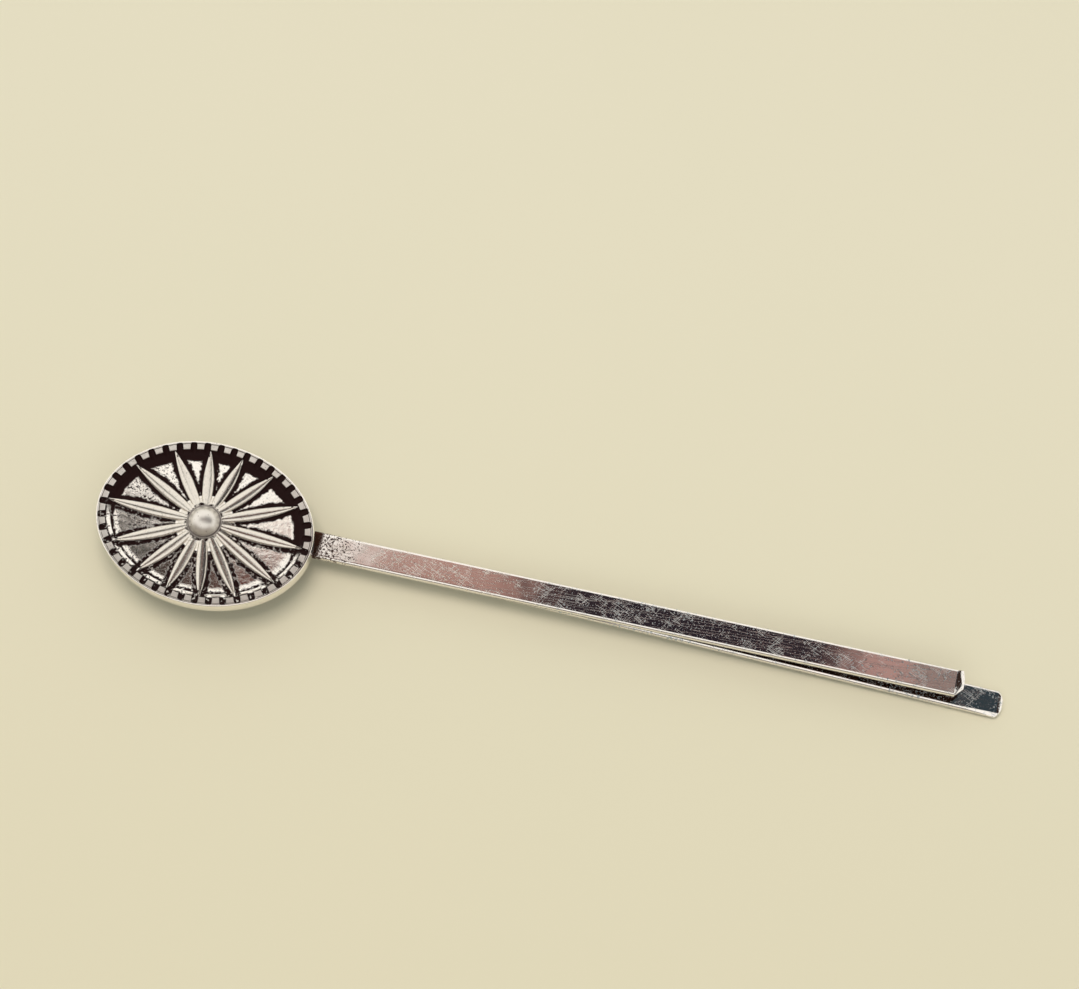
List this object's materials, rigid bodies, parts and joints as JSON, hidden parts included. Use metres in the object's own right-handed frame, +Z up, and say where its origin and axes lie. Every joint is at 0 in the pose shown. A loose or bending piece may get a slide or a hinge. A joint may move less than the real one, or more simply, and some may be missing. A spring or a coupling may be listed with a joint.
{
  "type": "decorative hair pin",
  "caption": "Sprung two-leg flat strip hair pin with a cast oval sunburst medallion on its closed end.",
  "frame": {"origin": "middle of the bounding box, at its bottom", "axes": "+X along the legs towards their open tips, +Z up through the medallion's face, +Y to the side the medallion leans away from"},
  "size_m": [0.0638, 0.0118, 0.0052],
  "materials": {
    "plated_steel": "bright nickel-toned plating with fine scratches",
    "pad_steel": "plain plated pad",
    "adhesive": "set clear adhesive",
    "antique_silver": "bright high points over a blackened ground"
  },
  "bodies": {
    "medallion_and_upper_leg": {"upper_leg": "plated_steel", "spring_bend": "plated_steel", "glue_pad": "pad_steel", "adhesive_bed": "adhesive", "medallion_casting": "antique_silver", "centre_bead": "antique_silver"},
    "lower_leg_body": {"lower_leg": "plated_steel"}
  },
  "joints": [
    {"name": "leg_spread", "type": "hinge", "parent": "medallion_and_upper_leg", "child": "lower_leg_body", "pos_m": [-0.02783, 0.00067, 0.00118], "axis": [0, 1, 0], "range_deg": [-0.3, 12], "stiffness_Nm_per_rad": 0.2, "deforming": ["spring_bend"]}
  ]
}
